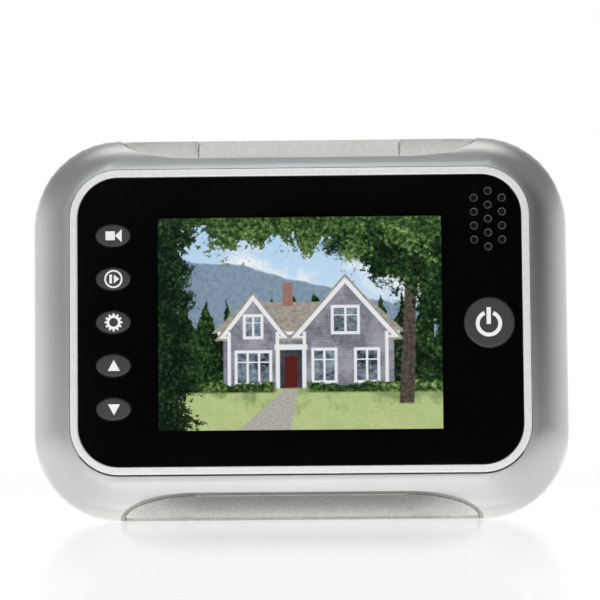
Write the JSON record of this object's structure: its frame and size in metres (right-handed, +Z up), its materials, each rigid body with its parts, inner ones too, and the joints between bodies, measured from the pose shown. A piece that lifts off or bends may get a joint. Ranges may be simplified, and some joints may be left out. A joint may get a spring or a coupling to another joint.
{
  "type": "peephole door camera",
  "caption": "Indoor monitor with a black front panel, oval side keys and a round power key, hung on a door bracket, with a camera barrel through the door.",
  "frame": {"origin": "on the camera barrel's axis, in the door's inside face", "axes": "+X to the right of the monitor, +Y outward through the door along the barrel, +Z up"},
  "size_m": [0.133, 0.0785, 0.0952],
  "materials": {
    "satin_silver": "satin silver paint",
    "pearl_silver": "pearl silver paint with a fine speckle",
    "black_gloss": "polished black acrylic",
    "screen_glass": "display glass",
    "steel": "pressed steel",
    "foam": "foam tape",
    "board": "solder mask",
    "chip_black": "moulded black",
    "bright_can": "bright metal",
    "ivory": "ivory nylon",
    "bracket_steel": "zinc grey",
    "brass": "turned brass, matte nickel",
    "seal": "black rubber",
    "lens": "coated lens glass",
    "key_grey": "dark grey moulded key",
    "screw_steel": "blackened steel",
    "cell_wrap": "printed shrink sleeve"
  },
  "bodies": {
    "door_mount": {"door_bracket": "bracket_steel"},
    "unit": {"bezel_frame": "satin_silver", "front_housing": "pearl_silver", "front_panel": "black_gloss", "lcd_frame": "steel", "lcd_glass": "screen_glass", "lcd_pads": "foam", "main_board": "board", "processor": "chip_black", "memory_chip": "chip_black", "capacitor_1": "bright_can", "capacitor_2": "bright_can", "camera_socket": "ivory", "switch_record": "steel", "switch_play": "steel", "switch_settings": "steel", "switch_up": "steel", "switch_down": "steel", "switch_power": "steel", "speaker_basket": "steel", "speaker_cone": "chip_black", "speaker_magnet": "steel", "speaker_gasket": "foam", "rear_case": "pearl_silver", "case_screw_1": "screw_steel", "case_screw_2": "screw_steel", "case_screw_3": "screw_steel", "case_screw_4": "screw_steel", "board_screw_1": "screw_steel", "board_screw_2": "screw_steel", "board_screw_3": "screw_steel", "board_screw_4": "screw_steel", "cell_1": "cell_wrap", "cell_2": "cell_wrap", "cell_3": "cell_wrap", "cell_4": "cell_wrap", "contacts_top": "bright_can", "contacts_bottom": "bright_can"},
    "cover": {"battery_cover": "pearl_silver"},
    "button_record": {"key_record": "key_grey", "plunger_record": "chip_black"},
    "button_play": {"key_play": "key_grey", "plunger_play": "chip_black"},
    "button_settings": {"key_settings": "key_grey", "plunger_settings": "chip_black"},
    "button_up": {"key_up": "key_grey", "plunger_up": "chip_black"},
    "button_down": {"key_down": "key_grey", "plunger_down": "chip_black"},
    "button_power": {"key_power": "key_grey", "plunger_power": "chip_black"},
    "sleeve": {"sleeve_nut": "brass"},
    "camera": {"camera_housing": "brass", "sealing_washer": "seal", "lens_front": "lens", "lens_ring": "chip_black", "lens_barrel": "chip_black", "sensor_board": "board", "cable_bush": "seal"}
  },
  "joints": [
    {"name": "unit_lift", "type": "slide", "parent": "door_mount", "child": "unit", "axis": [0, 0, 1], "range_m": [0, 0.009]},
    {"name": "cover_slide", "type": "slide", "parent": "unit", "child": "cover", "axis": [0, 0, 1], "range_m": [0, 0.055]},
    {"name": "press_record", "type": "slide", "parent": "unit", "child": "button_record", "axis": [0, 1, 0], "range_m": [0, 0.00045], "stiffness_N_per_m": 1500, "springref_m": -0.0006},
    {"name": "press_play", "type": "slide", "parent": "unit", "child": "button_play", "axis": [0, 1, 0], "range_m": [0, 0.00045], "stiffness_N_per_m": 1500, "springref_m": -0.0006},
    {"name": "press_settings", "type": "slide", "parent": "unit", "child": "button_settings", "axis": [0, 1, 0], "range_m": [0, 0.00045], "stiffness_N_per_m": 1500, "springref_m": -0.0006},
    {"name": "press_up", "type": "slide", "parent": "unit", "child": "button_up", "axis": [0, 1, 0], "range_m": [0, 0.00045], "stiffness_N_per_m": 1500, "springref_m": -0.0006},
    {"name": "press_down", "type": "slide", "parent": "unit", "child": "button_down", "axis": [0, 1, 0], "range_m": [0, 0.00045], "stiffness_N_per_m": 1500, "springref_m": -0.0006},
    {"name": "press_power", "type": "slide", "parent": "unit", "child": "button_power", "axis": [0, 1, 0], "range_m": [0, 0.00045], "stiffness_N_per_m": 1500, "springref_m": -0.0006},
    {"name": "sleeve_turn", "type": "hinge", "parent": "door_mount", "child": "sleeve", "pos_m": [0, 0, 0], "axis": [0, 1, 0], "range_deg": [-3600, 1800]},
    {"name": "camera_draw", "type": "slide", "parent": "door_mount", "child": "camera", "axis": [0, 1, 0], "range_m": [-0.005, 0.01]}
  ],
  "couplings": [
    {"joint": "sleeve_turn", "follows": "camera_draw", "rad_per_m": -6283.2}
  ]
}
